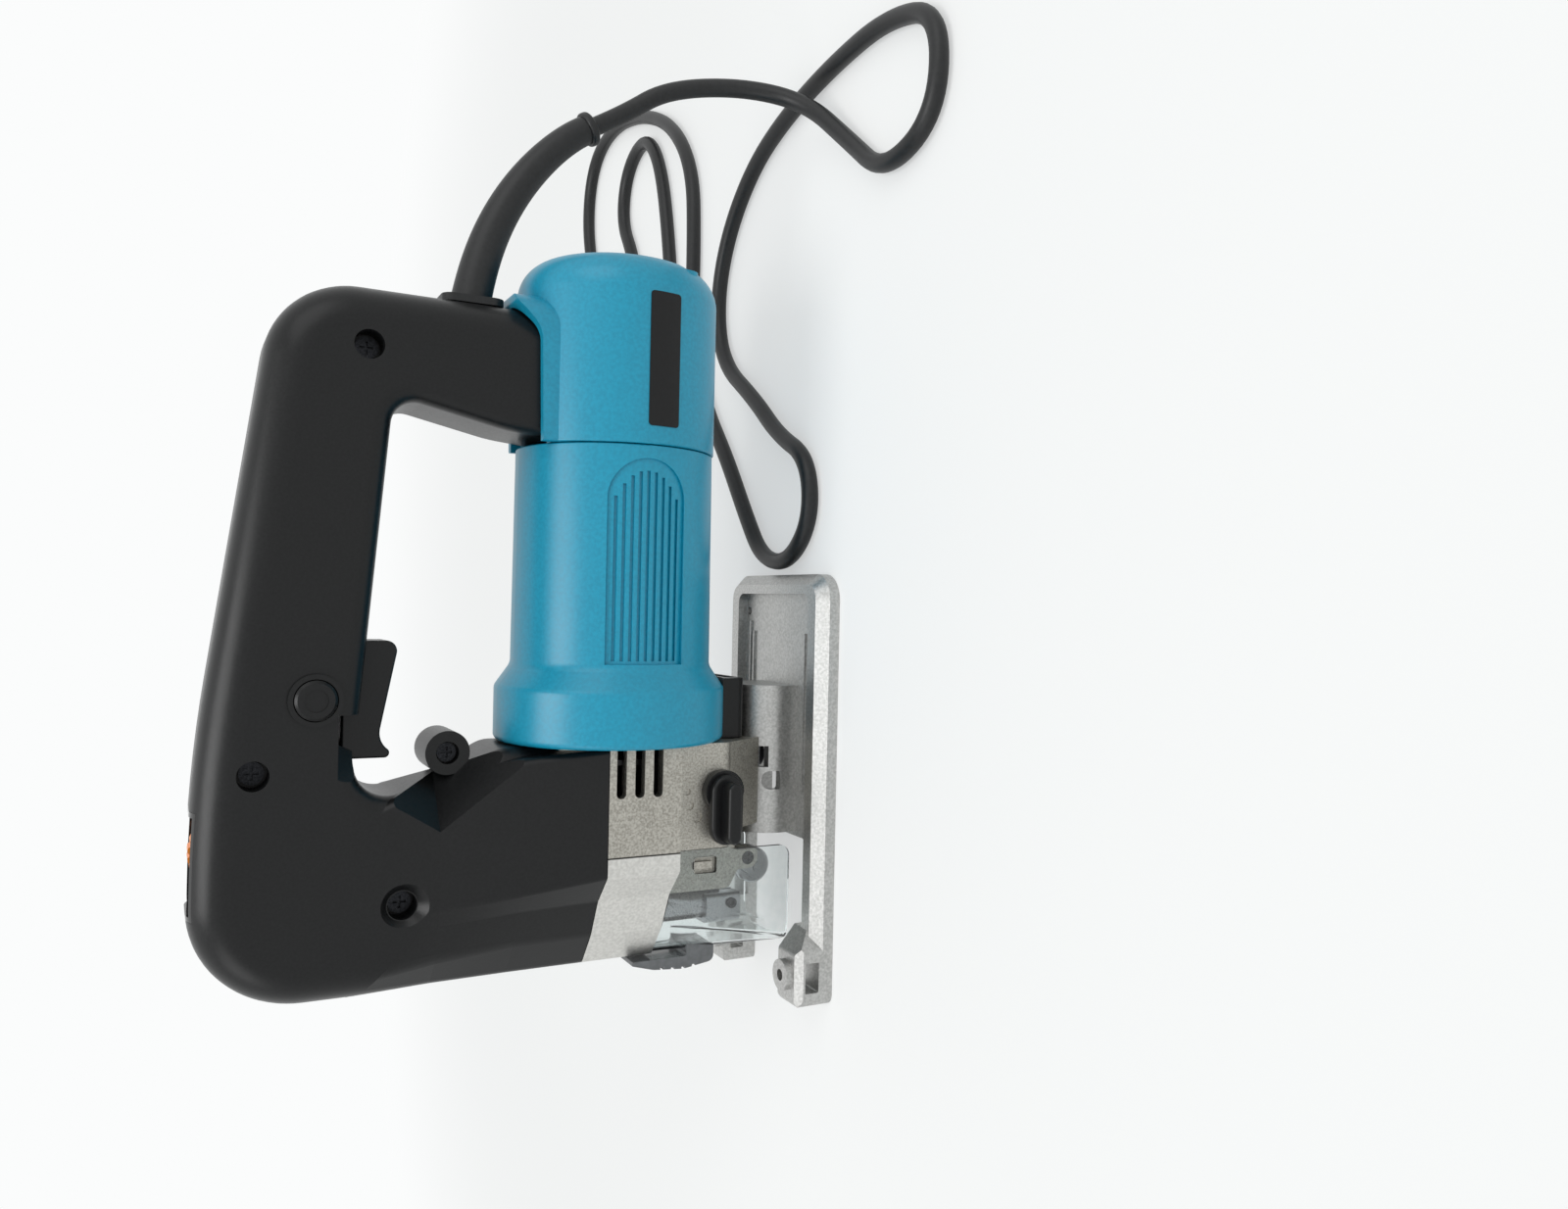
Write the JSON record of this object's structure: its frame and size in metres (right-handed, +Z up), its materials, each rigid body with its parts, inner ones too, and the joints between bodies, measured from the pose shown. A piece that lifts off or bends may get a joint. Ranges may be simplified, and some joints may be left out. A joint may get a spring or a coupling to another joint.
{
  "type": "jigsaw power tool",
  "caption": "Corded orbital jigsaw with a closed D-handle, barrel motor, cast gear housing, tilting base plate, clear chip guard, orbit lever and a rubber mains lead.",
  "frame": {"origin": "on the floor below the middle of the tool's box, its cord left out", "axes": "+X to the rear along the motor, +Y to the tool's right side, +Z up"},
  "size_m": [0.4105, 0.3571, 0.2119],
  "materials": {
    "black_plastic": "fine grained black moulding",
    "teal_plastic": "satin teal moulding",
    "cast_aluminium": "fine cast, edges brighter",
    "steel": "turned and ground",
    "bronze": "sintered",
    "copper": "enamelled wire",
    "graphite": "pressed carbon",
    "cord_rubber": "smooth black rubber",
    "plated_pins": "plated",
    "gloss_black": "polished black",
    "orange_plastic": "satin orange",
    "clear_plastic": "clear moulding",
    "smoke_plastic": "smoky moulding",
    "black_steel": "black oxide",
    "felt": "pressed felt"
  },
  "bodies": {
    "housing": {"handle_left": "black_plastic", "handle_right": "black_plastic", "handle_screws": "black_steel", "dial_window": "gloss_black", "speed_controller": "black_plastic", "switch_body": "black_plastic", "motor_housing": "teal_plastic", "rear_cover": "teal_plastic", "cover_screws": "steel", "field_core": "steel", "field_coils": "copper", "brush_holders": "bronze", "carbon_brushes": "graphite", "front_bearing": "steel", "rear_bearing": "steel", "air_baffle": "black_plastic", "gear_housing": "cast_aluminium", "nose_cover": "cast_aluminium", "gear_axle": "steel", "axle_ring": "steel", "lower_bush": "bronze", "upper_bush": "bronze", "rod_seal": "felt", "dust_nozzle": "black_plastic", "base_bolt": "black_steel", "bolt_washer": "steel", "retainer_pin": "black_steel", "chip_guard": "clear_plastic", "guard_tab": "smoke_plastic", "cord_sleeve": "cord_rubber", "power_cord": "cord_rubber", "plug_body": "cord_rubber", "plug_pins": "plated_pins"},
    "armature": {"armature_shaft": "steel", "armature_core": "steel", "armature_windings": "copper", "commutator": "copper", "cooling_fan": "black_plastic"},
    "crank": {"crank_gear": "steel", "crank_pin": "steel", "balance_weight": "steel"},
    "plunger": {"plunger": "steel", "blade_clamp": "steel", "clamp_screws": "black_steel"},
    "retainer": {"roller_retainer": "steel", "roller_axle": "steel"},
    "roller": {"guide_roller": "steel"},
    "orbit_lever": {"orbit_lever": "black_plastic", "lever_cam": "steel"},
    "trigger": {"trigger": "black_plastic"},
    "lock_button": {"lock_button": "black_plastic"},
    "speed_dial": {"speed_dial": "orange_plastic"},
    "base": {"base_plate": "cast_aluminium"}
  },
  "joints": [
    {"name": "trigger_pull", "type": "slide", "parent": "housing", "child": "trigger", "axis": [0, 0, 1], "range_m": [0, 0.006], "stiffness_N_per_m": 900, "springref_m": -0.004},
    {"name": "lock_press", "type": "slide", "parent": "housing", "child": "lock_button", "axis": [0, 1, 0], "range_m": [0, 0.003], "stiffness_N_per_m": 800, "springref_m": -0.002},
    {"name": "dial_turn", "type": "hinge", "parent": "housing", "child": "speed_dial", "pos_m": [-0.0685, 0, 0.1995], "axis": [0, 1, 0], "range_deg": [-135, 135]},
    {"name": "orbit_turn", "type": "hinge", "parent": "housing", "child": "orbit_lever", "pos_m": [-0.054, -0.03, 0.0415], "axis": [0, 1, 0], "range_deg": [0, 90]},
    {"name": "retainer_swing", "type": "hinge", "parent": "housing", "child": "retainer", "pos_m": [-0.0816, 0, 0.0253], "axis": [0, 1, 0], "range_deg": [-2.5, 1.5]},
    {"name": "roller_spin", "type": "hinge", "parent": "retainer", "child": "roller", "pos_m": [-0.088, 0, 0.016], "axis": [0, 1, 0], "continuous": true},
    {"name": "plunger_stroke", "type": "slide", "parent": "housing", "child": "plunger", "axis": [0, 0, 1], "range_m": [-0.01, 0.01]},
    {"name": "armature_spin", "type": "hinge", "parent": "housing", "child": "armature", "pos_m": [0, 0, 0.074], "axis": [1, 0, 0], "continuous": true},
    {"name": "crank_spin", "type": "hinge", "parent": "housing", "child": "crank", "pos_m": [-0.08, 0, 0.099], "axis": [1, 0, 0], "continuous": true},
    {"name": "base_tilt", "type": "hinge", "parent": "housing", "child": "base", "pos_m": [-0.045, 0, 0.01], "axis": [1, 0, 0], "range_deg": [-45, 45]}
  ],
  "couplings": [
    {"joint": "crank_spin", "follows": "armature_spin", "ratio": -0.25}
  ]
}
